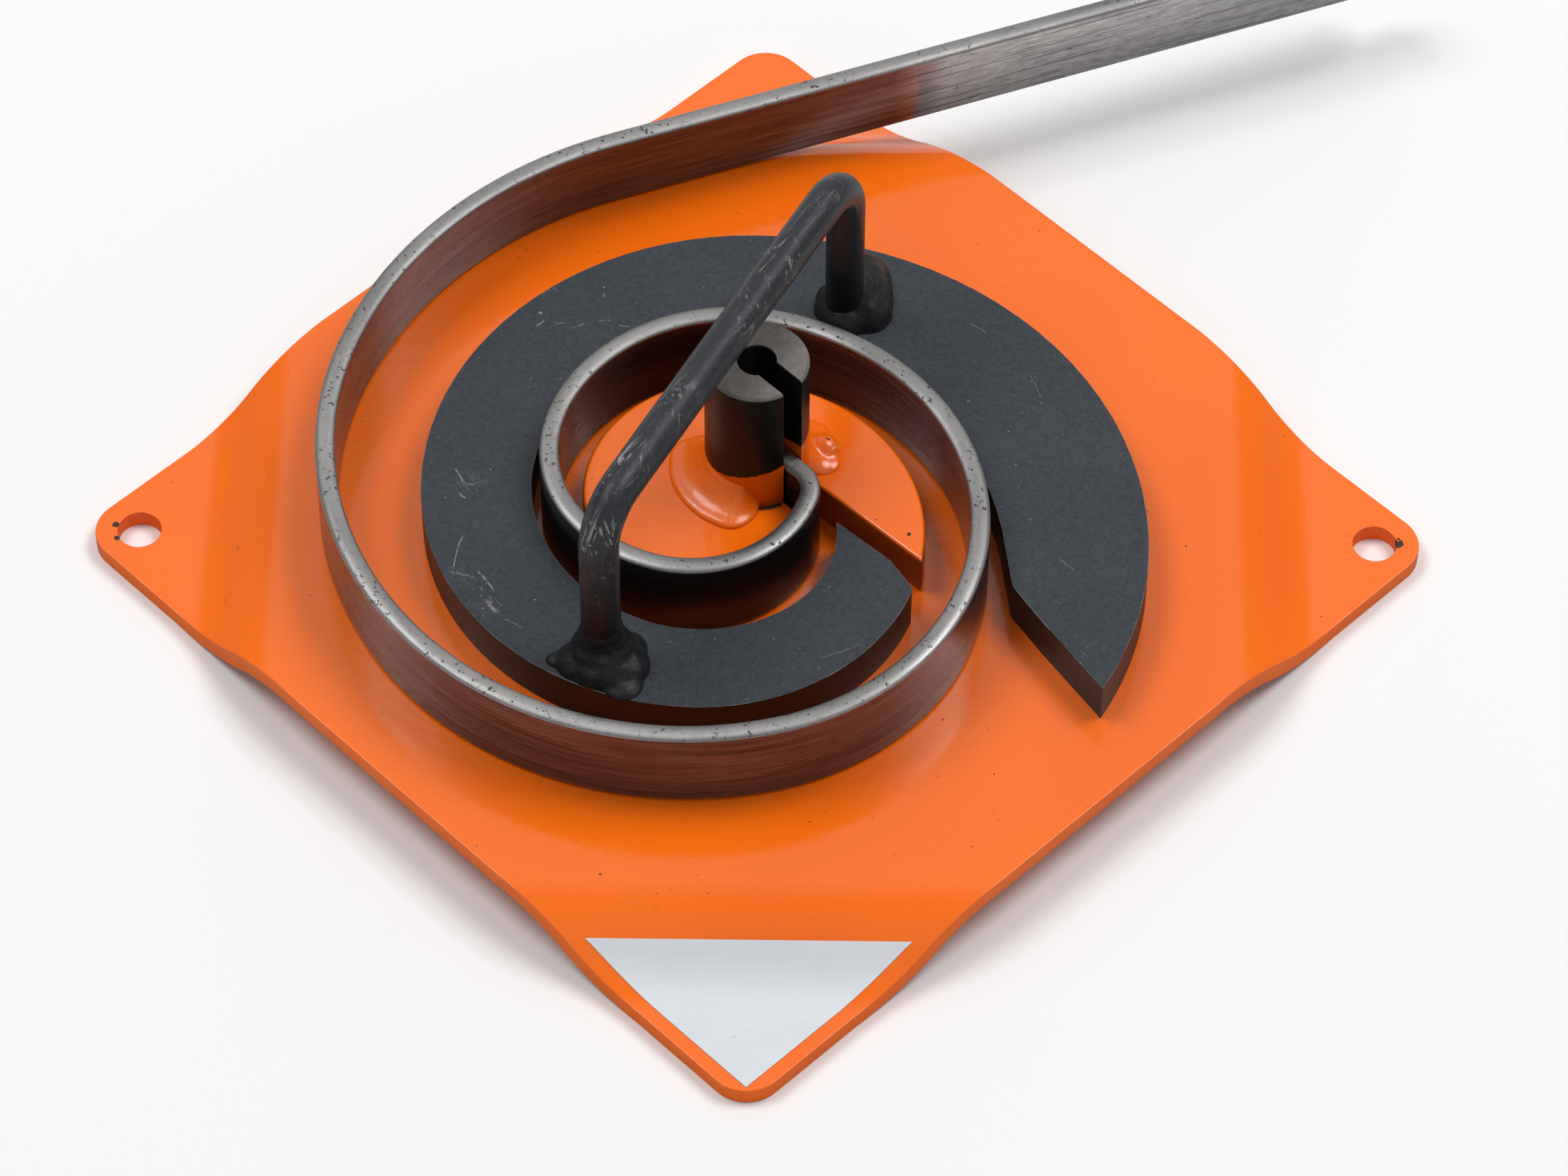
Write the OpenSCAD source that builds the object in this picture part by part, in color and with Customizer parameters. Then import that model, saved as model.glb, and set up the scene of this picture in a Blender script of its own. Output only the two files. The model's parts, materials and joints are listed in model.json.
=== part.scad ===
// Bench scroll bender: a pressed square base plate carries a fixed spiral former
// and a slotted centre post. A loose outer former with a lifting handle drops over
// two dowels and carries the spiral on. A flat bar is shown wound in the tool.
// Millimetres. Origin midway between the two fixing holes, on the bench. +Z up,
// fixing holes along X, the labelled corner towards -Y.

/* [Base plate] */
// Side of the square blank
plate_side = 200; // [190:1:240]
// Thickness of the plate
plate_t = 4; // [3:0.5:6]
// Radius of the blank's corners
corner_r = 8; // [4:0.5:12]
// Height of the underside of the middle above the bench
raise_h = 9; // [6:0.5:12]
// Plan length of the S-bend down to each foot
bend_run = 26; // [22:1:32]
// Plan length of each flat foot
foot_len = 18; // [16:0.5:22]
// Diameter of the fixing holes
fixing_d = 9; // [6:0.5:10]
// Distance from a fixing hole's centre to the tip of its corner
fixing_inset = 9.08; // [8:0.02:11]

/* [Centre post] */
// Distance of the post behind the middle of the plate
post_back = 3.5; // [0:0.5:6]
// Outer diameter of the post
post_d = 21.2; // [18:0.1:23]
// Height of the post above the plate
post_h = 43; // [36:1:46]
// Bore down the middle of the post
post_bore_d = 8; // [6:0.5:9]
// Diameter of the spigot through the plate
spigot_d = 16; // [13:0.5:17]
// Width of the slot that holds the bar's end
slot_w = 5; // [4.8:0.1:5.4]
// Chamfer round the top of the post
post_chamfer = 0.6; // [0.2:0.1:1]

/* [Formers] */
// Thickness of both formers
former_t = 10; // [8:0.5:12]
// Distance from the post's centre to the start of the spiral
spiral_start = 12; // [11.6:0.1:13]
// Distance of the step face from the slot's middle, at the post
step_off = 4.7; // [4:0.1:5.5]
// Angle by which the step face opens away from the slot
step_open = 2.2; // [0:0.1:4]
// Distance of the loose former's narrow end from the slot's middle
end_off = 0.9; // [0.2:0.1:1.5]
// Angle by which the narrow end's face opens away from the slot's middle
end_open = 3; // [0:0.1:4]
// Angle of the ground facet on the outer part of the narrow end
end_fall = 12; // [8:0.5:16]
// Rounding of the outer corner of the narrow end
end_round = 3; // [2:0.5:4]

/* [Handle] */
// Diameter of the handle rod
rod_d = 8; // [6:0.5:9]
// Height of the rod's middle above the plate
handle_h = 52.5; // [50:0.5:60]
// Bend radius at the middle of the rod
rod_bend = 9.5; // [8:0.5:12]

/* [Location and fixing] */
// Diameter of the dowels that locate the loose former
dowel_d = 8; // [6:0.5:10]
// Height of the dowels above the plate
dowel_h = 7; // [5:0.5:8]
// Diameter of the plug welds that hold the fixed former
plug_d = 12; // [8:0.5:13]
// Thickness of the blank label
label_t = 0.2; // [0.1:0.05:0.4]
// Short side of the label, laid flat
label_leg = 45; // [36:1:48]
// Gap between the label and the tip of its corner
label_gap = 0.8; // [0.6:0.1:4]

/* [Bar] */
// Width of the flat bar, which stands on its edge
bar_w = 20; // [12:1:22]
// Thickness of the flat bar
bar_t = 4; // [3:0.1:4.2]
// Length of the straight tail
tail_len = 178; // [100:1:300]

/* [Clearances] */
// Radial clearance of a running or drop-in fit
fit_gap = 0.1; // [0.05:0.01:0.15]
// Radial clearance of a fixed fit
set_gap = 0.03; // [0.01:0.01:0.05]

/* [Hidden] */

$fn = 64;
// Small overlap for clean cuts
eps = 1;
// Angle between neighbouring points on a curve
step_deg = 4;
orange = [0.93, 0.36, 0.08];
black = [0.10, 0.11, 0.12];
steel = [0.62, 0.62, 0.61];

// S-bend: two equal arcs joined at their steepest point
bend_angle = 2 * atan(raise_h / bend_run);
bend_r = bend_run / (2 * sin(bend_angle));
bend_arc = 2 * bend_r * bend_angle * PI / 180;
// The bend draws each corner in by the length that it uses up
draw_in = bend_arc - bend_run;
half_diag = plate_side / sqrt(2);
foot_diag = half_diag - draw_in;
tip = foot_diag - corner_r * (sqrt(2) - 1);
bend_end = tip - foot_len;
bend_start = bend_end - bend_run;
fixing_x = tip - fixing_inset;
plate_top = raise_h + plate_t;
former_top = plate_top + former_t;
post_at = [0, post_back];
slot_angle = -45;

// The spiral edge of the formers, as [radius, sweep] arcs run clockwise
fixed_arcs = [[5, 60], [20.4, 75], [23.6, 90], [29.7, 90], [39.9, 90]];
loose_arcs = [[45.1, 90], [57.4, 90], [66.8, 90], [80.7, 90], [75.4, 30]];
run_on_arcs = [[45.1, 20]];
// Inner edge of the loose former, from its narrow end to the horn
inner_arcs = [[23.8, 60], [29.8, 60], [38.3, 90], [41.9, 90], [63.6, 60]];
inner_heading = -84.6;
// Middle line of the bar, from the slot to the tail
bar_arcs = [[6.9, 60], [24.5, 90], [30.6, 90], [37.6, 90], [53.9, 90],
            [54, 60], [72, 60], [78.2, 60], [87.5, 54]];
// The bar's end stops just short of the post's bore
bar_tuck = post_bore_d / 2 + 0.5;

// Plug welds under the fixed former, as [angle, distance] from the post
plugs_at = [[20, 19], [150, 19.5], [255, 19]];
plug_dome = 1;

// Point at an angle and distance from another
function polar(p, a, d) = p + d * [cos(a), sin(a)];
// Point in the slot's own frame: along the slot, and off to its upper right side
function slot_frame(along, off) = polar(polar(post_at, slot_angle, along), slot_angle + 90, off);
// End point of an arc that turns clockwise from heading h
function arc_end(p, h, r, s) = p + r * [sin(h) - sin(h - s), cos(h - s) - cos(h)];
// Points of a chain of tangent clockwise arcs, shifted to the left by off
function chain(p, h, arcs, off = 0, i = 0) =
    i == len(arcs) ? [polar(p, h + 90, off)] :
    let (r = arcs[i][0], s = arcs[i][1], n = ceil(s / step_deg))
    concat(
        [for (k = [0 : n - 1]) polar(arc_end(p, h, r, s * k / n), h - s * k / n + 90, off)],
        chain(arc_end(p, h, r, s), h - s, arcs, off, i + 1));
// End point and heading of such a chain
function chain_end(p, h, arcs, i = 0) =
    i == len(arcs) ? p :
    chain_end(arc_end(p, h, arcs[i][0], arcs[i][1]), h - arcs[i][1], arcs, i + 1);
function total(arcs, i = 0) = i == len(arcs) ? 0 : arcs[i][1] + total(arcs, i + 1);
function flip(list) = [for (i = [len(list) - 1 : -1 : 0]) list[i]];

// Where the spiral leaves the slot, and what is set out from there
spiral_at = slot_frame(spiral_start, 0);
spiral_from = slot_frame(spiral_start, -slot_w / 2);
loose_from = chain_end(spiral_from, slot_angle, fixed_arcs);
loose_heading = slot_angle - total(fixed_arcs);
inner_start = slot_frame(spiral_start + 10.3, 0.7);
// Narrow end of the loose former: where its face begins and where its facet begins
end_from = spiral_start + 4;
end_to = spiral_start + 24.5;
end_depth = 16;
end_back = 4;
// The horn: corner of the inner edge and the kink in its cut end
horn_corner = slot_frame(spiral_start + 46.3, 14.8);
horn_kink = slot_frame(spiral_start + 57, 12.6);
bar_from = slot_frame(spiral_start + 0.6, 0);
// Feet of the handle's legs on the loose former, and the dowels beneath it
leg_front = spiral_at + [-38.5, -40];
leg_rear = spiral_at + [9, 50];
dowels_at = [spiral_at + [-65, 7], spiral_at + [53, 9]];

// One surface of the S-bend, off away from the middle of the plate's thickness
function bend_line(off) = let (n = 10, high = raise_h + plate_t / 2, low = plate_t / 2)
    concat(
        [[bend_start - eps, high + off]],
        [for (k = [0 : n]) let (a = bend_angle * k / n)
            [bend_start + (bend_r + off) * sin(a), high - bend_r + (bend_r + off) * cos(a)]],
        [for (k = [n - 1 : -1 : 0]) let (a = bend_angle * k / n)
            [bend_end - (bend_r - off) * sin(a), low + bend_r - (bend_r - off) * cos(a)]],
        [[tip + eps, low + off]]);

// A strip of the S-bend, out along +X, between two surfaces
module bend_strip(off_low, off_high) {
    rotate([90, 0, 0])
        linear_extrude(2 * half_diag, center = true)
            polygon(concat(bend_line(off_low), flip(bend_line(off_high))));
}

// Plan of one corner, out along +X
module corner_plan() {
    polygon(concat(
        [[bend_start - eps, bend_start - half_diag + eps],
         [bend_start, bend_start - half_diag],
         [bend_end, bend_end - foot_diag]],
        [for (a = [-45 : 5 : 45]) polar([tip - corner_r, 0], a, corner_r)],
        [[bend_end, foot_diag - bend_end],
         [bend_start, half_diag - bend_start],
         [bend_start - eps, half_diag - bend_start - eps]]));
}

// Plan of the flat middle: the blank cut square at the bends
module middle_plan() {
    cut = half_diag - bend_start;
    polygon([for (a = [0 : 90 : 270]) each [
        polar(polar([0, 0], a, bend_start), a + 90, -cut),
        polar(polar([0, 0], a, bend_start), a + 90, cut)]]);
}

module at_dowels() {
    for (p = dowels_at)
        translate(p)
            children();
}

module at_plugs() {
    for (w = plugs_at)
        translate(polar(post_at, w[0], w[1]))
            children();
}

module base_plate() {
    color(orange)
        difference() {
            union() {
                translate([0, 0, raise_h])
                    linear_extrude(plate_t)
                        middle_plan();
                for (a = [0 : 90 : 270])
                    rotate([0, 0, a])
                        intersection() {
                            bend_strip(-plate_t / 2, plate_t / 2);
                            linear_extrude(plate_top + eps)
                                corner_plan();
                        }
            }
            for (side = [-1, 1])
                translate([side * fixing_x, 0, -eps])
                    cylinder(h = plate_t + 2 * eps, d = fixing_d);
            translate([post_at[0], post_at[1], raise_h - eps])
                cylinder(h = plate_t + 2 * eps, d = spigot_d + 2 * set_gap);
            at_dowels()
                translate([0, 0, raise_h - eps])
                    cylinder(h = plate_t + 2 * eps, d = dowel_d + 2 * set_gap);
            at_plugs()
                translate([0, 0, raise_h - eps])
                    cylinder(h = plate_t + 2 * eps, d = plug_d);
        }
}

// Slot from the post out past the spiral, with the step face on its upper side
module slot_plan() {
    reach = 2 * spiral_start + post_d + bar_w;
    polygon([slot_frame(0, -slot_w / 2),
             slot_frame(reach, -slot_w / 2),
             slot_frame(reach, step_off + reach * tan(step_open)),
             slot_frame(0, step_off)]);
}

module inner_former() {
    color(orange)
        translate([0, 0, plate_top])
            difference() {
                linear_extrude(former_t)
                    difference() {
                        polygon(chain(spiral_from, slot_angle, concat(fixed_arcs, run_on_arcs)));
                        slot_plan();
                    }
                translate([post_at[0], post_at[1], -eps])
                    cylinder(h = former_t + 2 * eps, d = post_d + 2 * set_gap);
            }
}

module centre_post() {
    color(black)
        translate([post_at[0], post_at[1], 0])
            difference() {
                union() {
                    translate([0, 0, raise_h])
                        cylinder(h = plate_t + eps, d = spigot_d);
                    translate([0, 0, plate_top])
                        cylinder(h = post_h - post_chamfer, d = post_d);
                    translate([0, 0, plate_top + post_h - post_chamfer])
                        cylinder(h = post_chamfer, d1 = post_d, d2 = post_d - 2 * post_chamfer);
                }
                translate([0, 0, raise_h - eps])
                    cylinder(h = plate_t + post_h + 2 * eps, d = post_bore_d);
                rotate([0, 0, slot_angle])
                    translate([0, -slot_w / 2, plate_top])
                        cube([post_d, slot_w, post_h + eps]);
            }
}

// Fillet round the left side of the post
weld_leg = 8;
weld_rise = 9;
weld_sweep = 108;
weld_end_angle = -98;

module post_weld() {
    r = post_d / 2 + set_gap;
    color(orange)
        translate([post_at[0], post_at[1], former_top])
            rotate([0, 0, weld_end_angle - weld_sweep])
                rotate_extrude(angle = weld_sweep)
                    polygon([[r, 0], [r + weld_leg, 0], [r + 0.9 * weld_leg, 0.12 * weld_rise],
                             [r + 0.55 * weld_leg, 0.3 * weld_rise],
                             [r + 0.25 * weld_leg, 0.58 * weld_rise],
                             [r + 0.08 * weld_leg, 0.9 * weld_rise], [r, weld_rise]]);
}

// Beads of weld metal, as [x, y, radius, height of the centre above the surface]
module beads(list) {
    intersection() {
        union()
            for (b = list)
                translate([b[0], b[1], b[3]])
                    sphere(r = b[2], $fn = 32);
        translate([0, 0, half_diag / 2])
            cube([2 * half_diag, 2 * half_diag, half_diag], center = true);
    }
}

tack_beads = [[13.2, 6.2, 5, -1.2], [16.2, 7.2, 4, -1.6]];

module post_tack_weld() {
    color(orange)
        difference() {
            translate([0, 0, former_top])
                beads(tack_beads);
            translate([post_at[0], post_at[1], former_top - eps])
                cylinder(h = post_h, d = post_d + 2 * set_gap);
        }
}

// Fillet that fixes the spigot under the plate: its leg, its depth and the bare rim at the bore
root_leg = 3;
root_depth = 1.8;
root_rim = 1;

module post_root_weld() {
    outer = spigot_d / 2;
    inner = post_bore_d / 2 + root_rim;
    color(orange)
        translate([post_at[0], post_at[1], raise_h])
            rotate_extrude()
                polygon([[inner, 0], [outer + root_leg, 0], [outer + 0.4 * root_leg, -0.6 * root_depth],
                         [outer, -root_depth], [inner + 0.2 * root_leg, -root_depth]]);
}

module former_plug_welds() {
    color(orange)
        at_plugs()
            translate([0, 0, raise_h]) {
                cylinder(h = plate_t, d = plug_d);
                translate([0, 0, -plug_dome])
                    cylinder(h = plug_dome, d1 = plug_d / 2, d2 = plug_d);
            }
}

// Tapered lead at the dowels' upper ends: its height and how much it takes off the diameter
lead_h = 1;
lead_off = 1.5;
// Headroom over the dowels inside the loose former
dowel_room = 0.5;

module locating_dowels() {
    body = plate_t + dowel_h - lead_h;
    color(steel)
        at_dowels()
            translate([0, 0, raise_h]) {
                cylinder(h = body, d = dowel_d);
                translate([0, 0, body])
                    cylinder(h = lead_h, d1 = dowel_d, d2 = dowel_d - lead_off);
            }
}

// Plan distance covered by a length s of the S-bend, from its lower end
function bend_plan(s) =
    let (a = s / bend_r * 180 / PI)
    a <= bend_angle ? bend_r * sin(a) : bend_run - bend_r * sin(2 * bend_angle - a);

// Bare triangular label, stuck flat on the front foot and up its bend
module blank_label() {
    far = tip - label_gap;
    on_foot = far - bend_end;
    on_bend = label_leg / sqrt(2) - on_foot;
    rear = [for (k = [0 : 8]) let (s = on_bend * k / 8) [bend_end - bend_plan(s), on_foot + s]];
    color([0.84, 0.85, 0.86])
        rotate([0, 0, -90])
            intersection() {
                bend_strip(plate_t / 2, plate_t / 2 + label_t);
                linear_extrude(plate_top + eps)
                    polygon(concat([[far, 0]], rear, [for (p = flip(rear)) [p[0], -p[1]]]));
            }
}

// Everything past the narrow end's face, where the fixed former carries on: the face,
// its facet, and the rounding between the facet and the first arc of the spiral
module end_cut_plan() {
    facet_from = slot_frame(end_to, end_off + (end_to - end_from) * tan(end_open));
    facet_angle = slot_angle - end_fall;
    arc_r = loose_arcs[0][0];
    arc_middle = polar(loose_from, loose_heading - 90, arc_r);
    inward = polar(facet_from, facet_angle - 90, end_round) - arc_middle;
    along = inward * polar([0, 0], facet_angle, 1);
    reach = sqrt(pow(arc_r - end_round, 2) - inward * inward + along * along) - along;
    middle = arc_middle + inward + polar([0, 0], facet_angle, reach);
    out = middle - arc_middle;
    last = atan2(out[1], out[0]);
    steps = 8;
    polygon(concat(
        [slot_frame(end_from, end_off), facet_from],
        [for (k = [0 : steps])
            polar(middle, facet_angle + 90 + (last - facet_angle - 90) * k / steps, end_round)],
        [polar(middle, last, 2 * end_round),
         slot_frame(spiral_start + arc_r, end_depth),
         slot_frame(end_from, end_depth)]));
}

module outer_former() {
    color(black)
        translate([0, 0, plate_top])
            difference() {
                linear_extrude(former_t)
                    difference() {
                        polygon(concat(
                            chain(loose_from, loose_heading, loose_arcs),
                            [horn_kink, horn_corner],
                            flip(chain(inner_start, inner_heading, inner_arcs)),
                            [inner_start + [0, end_back]]));
                        end_cut_plan();
                    }
                at_dowels()
                    translate([0, 0, -eps])
                        cylinder(h = dowel_h + dowel_room + eps, d = dowel_d + 2 * fit_gap);
            }
}

// Half of the rod: a leg, the bend and half of the grip, towards +X
module half_handle(span) {
    rise = handle_h - former_t;
    cylinder(h = rise - rod_bend, d = rod_d);
    translate([rod_bend, 0, rise - rod_bend])
        rotate([90, 0, 0])
            rotate([0, 0, 90])
                rotate_extrude(angle = 90)
                    translate([rod_bend, 0])
                        circle(d = rod_d);
    translate([rod_bend, 0, rise])
        rotate([0, 90, 0])
            cylinder(h = span / 2 - rod_bend, d = rod_d);
}

module lift_handle() {
    between = leg_rear - leg_front;
    span = norm(between);
    color(black)
        translate([leg_front[0] + between[0] / 2, leg_front[1] + between[1] / 2, former_top])
            for (turn = [0, 180])
                rotate([0, 0, atan2(between[1], between[0]) + turn])
                    translate([-span / 2, 0, 0])
                        half_handle(span);
}

// Beads at the feet of the handle, as offsets from the leg
front_beads = [[0, 0, 7.5, -1.5], [3.5, -3, 7, -1.5], [-3.5, -2.5, 6, -1.5], [4.5, -7, 4.5, -1.5]];
rear_beads = [[0, 0, 6.5, -1.5], [4, 4.5, 7.5, -2], [5.5, -1.5, 6, -1.5]];

module leg_weld(leg, list) {
    difference() {
        translate([leg[0], leg[1], former_top])
            beads(list);
        translate([leg[0], leg[1], former_top - eps])
            cylinder(h = handle_h, d = rod_d + 2 * set_gap);
    }
}

module front_handle_weld() {
    color(black)
        leg_weld(leg_front, front_beads);
}

module rear_handle_weld() {
    color(black)
        leg_weld(leg_rear, rear_beads);
}

// Flat bar on edge: tucked in the slot, wound round both formers, straight tail
module flat_bar() {
    tail_heading = slot_angle - total(bar_arcs);
    tail_end = polar(chain_end(bar_from, slot_angle, bar_arcs), tail_heading, tail_len);
    function side(off) = concat(
        [slot_frame(bar_tuck, off)],
        chain(bar_from, slot_angle, bar_arcs, off),
        [polar(tail_end, tail_heading + 90, off)]);
    color(steel)
        translate([0, 0, plate_top])
            linear_extrude(bar_w)
                polygon(concat(side(bar_t / 2), flip(side(-bar_t / 2))));
}

base_plate();
inner_former();
centre_post();
post_weld();
post_tack_weld();
post_root_weld();
former_plug_welds();
locating_dowels();
blank_label();
outer_former();
lift_handle();
front_handle_weld();
rear_handle_weld();
flat_bar();
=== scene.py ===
"""The looks of a bench scroll bender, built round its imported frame.

Metres, in the frame's own axes: +Z up, the origin on the bench midway between the two
fixing holes, the labelled corner towards -Y.
"""

import json
import math

import bmesh
import bpy
from mathutils import Matrix, Vector, noise


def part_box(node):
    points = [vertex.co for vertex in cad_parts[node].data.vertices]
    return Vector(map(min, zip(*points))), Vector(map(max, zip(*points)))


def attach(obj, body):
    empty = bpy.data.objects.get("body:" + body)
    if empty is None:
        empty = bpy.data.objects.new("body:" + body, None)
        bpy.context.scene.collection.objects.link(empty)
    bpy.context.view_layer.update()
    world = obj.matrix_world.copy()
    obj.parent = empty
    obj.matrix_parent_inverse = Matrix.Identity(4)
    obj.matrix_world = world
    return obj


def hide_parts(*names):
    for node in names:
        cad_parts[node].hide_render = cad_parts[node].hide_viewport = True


bl_info = {
    "name": "Scroll Bender",
    "version": (1, 0, 0),
    "blender": (4, 5, 0),
    "location": "3D View > Sidebar > Scroll Bender",
    "description": "Dresses the packed frame of a bench scroll bender, one piece at a time",
    "category": "Object",
}

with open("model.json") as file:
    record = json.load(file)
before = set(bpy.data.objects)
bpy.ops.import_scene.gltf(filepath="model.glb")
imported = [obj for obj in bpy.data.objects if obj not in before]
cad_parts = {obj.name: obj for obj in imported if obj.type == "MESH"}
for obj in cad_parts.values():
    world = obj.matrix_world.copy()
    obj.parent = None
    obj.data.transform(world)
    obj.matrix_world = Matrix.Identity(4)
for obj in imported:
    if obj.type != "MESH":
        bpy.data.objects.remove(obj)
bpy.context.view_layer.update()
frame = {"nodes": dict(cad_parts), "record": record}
NODES = frame["nodes"]

MM = 0.001
UP = Vector((0, 0, 1))

# A CAD mesh's doubled points are merged where they lie this close, in metres, and its faces where
# they turn less than this, in degrees. A sweep has a ring this often on its straight stretches.
MERGED = 0.002 * MM
FLAT = 0.5
STRAIGHT_STEP = 4 * MM

# Places read from the frame
PLATE_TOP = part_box("base_plate")[1].z
FORMER_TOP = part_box("outer_former")[1].z
POST_LOW, POST_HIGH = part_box("centre_post")
POST_RADIUS = (POST_HIGH.x - POST_LOW.x) / 2
POST = Vector(((POST_LOW.x + POST_HIGH.x) / 2, (POST_LOW.y + POST_HIGH.y) / 2, FORMER_TOP))
HANDLE_LOW, HANDLE_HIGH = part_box("lift_handle")
BAR_LOW, BAR_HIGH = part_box("flat_bar")

# The bar's middle line: where it starts in the slot, then clockwise arcs as (radius in mm, degrees)
SLOT_HEADING = -45.0
BAR_TUCK = 4.5 * MM
BAR_START = 12.6 * MM
BAR_ARCS = ((6.9, 60), (24.5, 90), (30.6, 90), (37.6, 90), (53.9, 90),
            (54.0, 60), (72.0, 60), (78.2, 60), (87.5, 54))

# How much of the bar's thickness the rounding of a corner takes up, before its height is squashed
DOME_SHARE, DOME_SEGMENTS = 0.46, 7

# Distances along the bar, in metres: where the painted darkness of its first turn, standing for the black
# former and dark gap mirrored in it, fades out, and where its tail's face is painted bright, as the floor
# mirrored in it past the plate's edge
DARK_REFLECTION_RUN = (0.150, 0.200)
FLOOR_REFLECTION_RUN = (0.605, 0.617)

# A fixing hole's distance from the middle and the height of a foot's top, then chips in the plate's
# paint as (place, radius) and scuffs as (place, radius, direction in degrees)
HOLE_X = next(mount["dims"]["spacing_x_mm"] for mount in frame["record"]["mounts"]
              if mount["name"] == "fixing_holes") / 2 * MM
FOOT_TOP = 4 * MM
PLATE_CHIPS = (
    ((HOLE_X + 0.0044, 0.0003, FOOT_TOP), 0.0023), ((-HOLE_X - 0.0050, 0.0012, FOOT_TOP), 0.0012),
    ((-HOLE_X - 0.0044, -0.0024, FOOT_TOP), 0.0009))
PLATE_SCUFFS = (
    ((0.060, -0.052, PLATE_TOP), 0.011, 130), ((-0.030, -0.090, PLATE_TOP), 0.020, 20))

# Weld beads as (x, y, height of the middle, radius across, radius upright), in mm.
# The handle's are set out from its feet and the post's from its axis, all from the former's top.
FRONT_BEADS = (
    (0, 0, 8.0, 4.6, 3.6), (0, 0, 5.0, 5.4, 4.0), (0.2, -0.6, 2.4, 6.8, 4.4),
    (0.6, -1.6, -0.8, 8.6, 6.0), (3.6, -3.2, -1, 6.6, 4.9), (-4.4, -2.4, -1, 5.4, 4.4),
    (4.4, -8.2, -1, 4.6, 2.7), (-9.2, -2.0, -1, 2.6, 2.2), (5.6, 1.2, -0.8, 3.6, 4.0),
    (-0.6, -5.0, -1, 5.0, 4.2))
REAR_BEADS = (
    (4.0, 9.0, -1, 6.0, 6.4), (4.2, 6.4, -0.9, 6.2, 7.6), (4.4, 4.0, -0.8, 6.3, 8.0),
    (4.4, 1.6, -0.8, 6.2, 7.6), (4.5, -0.6, -0.8, 6.0, 6.8), (1.8, 2.2, 3.0, 5.6, 6.0),
    (0.6, -2.0, -0.5, 5.4, 5.2), (-1.6, 0.4, 0, 5.0, 4.6), (-3.6, 2.6, 1.0, 2.6, 3.6))
# Fillets round the post: first and last angle, how soon each swells and dies away, in degrees, and
# in mm its reach from the post, its height there and the height of its toe
LEFT_FILLET = (148, 265, 30, 20, 7.6, 11.5, 1.3)
RIGHT_FILLET = (-5, 62, 10, 34, 6.8, 7.4, 1.2)
# Beads stand every few degrees in rows out from the post, each of this radius across
FILLET_STEP, FILLET_ROWS, FILLET_BEAD = 3, 10, 1.7
TACK_BEADS = ((13.8, 4.4, 0.2, 3.4, 3.2),)
TACK_PIT = POST + Vector((14.4, 4.6, 3.4)) * MM
# Thin wrinkle lines in the fillets' paint, raised in relief and each painted paler as its highlight, in plan,
# as (x, y, x, y, width, strength) in mm
LEFT_HIGHLIT_WRINKLES = (
    (-6.5, -8.0, -6.2, -12.8, 0.35, 0.7), (-5.1, -8.4, -4.8, -13.2, 0.35, 0.9),
    (-4.2, -7.8, -4.5, -11.8, 0.3, 0.6), (-8.4, -10.2, -5.2, -9.4, 0.3, 0.5))
RIGHT_HIGHLIT_WRINKLES = (
    (17.3, 13.2, 17.6, 8.4, 0.5, 0.7), (17.4, 8.2, 15.0, 5.6, 0.5, 0.8),
    (14.8, 5.4, 11.8, 3.4, 0.5, 0.7), (17.2, 7.4, 16.2, 6.6, 0.35, 0.8))

# Fineness of the remesh that runs the beads together, and depth of the lumps on each weld
POST_VOXEL, FILLET_LUMPS, TACK_LUMPS = 0.28 * MM, 0.07 * MM, 0.12 * MM
HANDLE_VOXEL, HANDLE_LUMPS = 0.3 * MM, 0.16 * MM

# Pits in the fixed former's paint as (x, y, radius), in mm, and the crevice round the post's foot where no
# fillet covers it, painted as near-black shade, as (x, y, x, y, width, strength)
FIXED_FORMER_CHIPS = ((31.0, -14.2, 0.7), (24.2, -10.4, 0.4))
FOOT_CREVICE_SHADE = (
    (-3.4, -7.5, 0.2, -8.0, 1.7, 1.0), (-0.6, -8.0, 3.0, -7.5, 1.9, 1.0),
    (2.4, -7.8, 5.2, -6.4, 1.9, 1.0), (8.2, -4.2, 10.6, -0.8, 1.7, 1.0),
    (10.3, -1.4, 11.4, 1.6, 1.1, 0.8))

# Scratches on the loose former in plan as (x, y, x, y, width, strength), in mm, and scrubbed patches
# as (x, y, radius, strength)
FORMER_SCRATCHES = (
    (-61.5, 1.6, -59.7, -1.9, 0.45, 0.8), (-59.7, -1.9, -57.0, -2.6, 0.4, 0.5),
    (-60.4, -4.6, -59.0, -6.0, 0.45, 0.8), (-59.2, -15.7, -60.6, -24.6, 0.35, 0.7),
    (-61.3, -25.2, -55.8, -26.6, 0.5, 0.5), (-55.6, -24.7, -52.0, -30.3, 0.5, 0.9),
    (-46.7, 40.2, -44.8, 41.9, 0.4, 0.8), (-42.7, 40.8, -40.4, 41.3, 0.4, 0.45),
    (-38.8, 39.8, -36.3, 41.2, 0.4, 0.6), (-33.3, 41.3, -30.7, 41.6, 0.4, 0.6),
    (-29.2, 40.4, -27.1, 40.0, 0.35, 0.5), (-45.9, 43.8, -45.3, 43.2, 0.7, 0.9),
    (-32.9, 49.1, -32.5, 48.5, 0.6, 0.7), (43.8, 42.3, 46.8, 39.4, 0.35, 0.35),
    (64.0, -23.0, 61.0, -20.0, 0.35, 0.35), (-50.0, -36.9, -45.7, -39.0, 0.5, 0.35),
    (13.0, -46.0, 21.0, -42.0, 0.3, 0.3), (56.0, 28.5, 58.5, 22.0, 0.3, 0.3))
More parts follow.
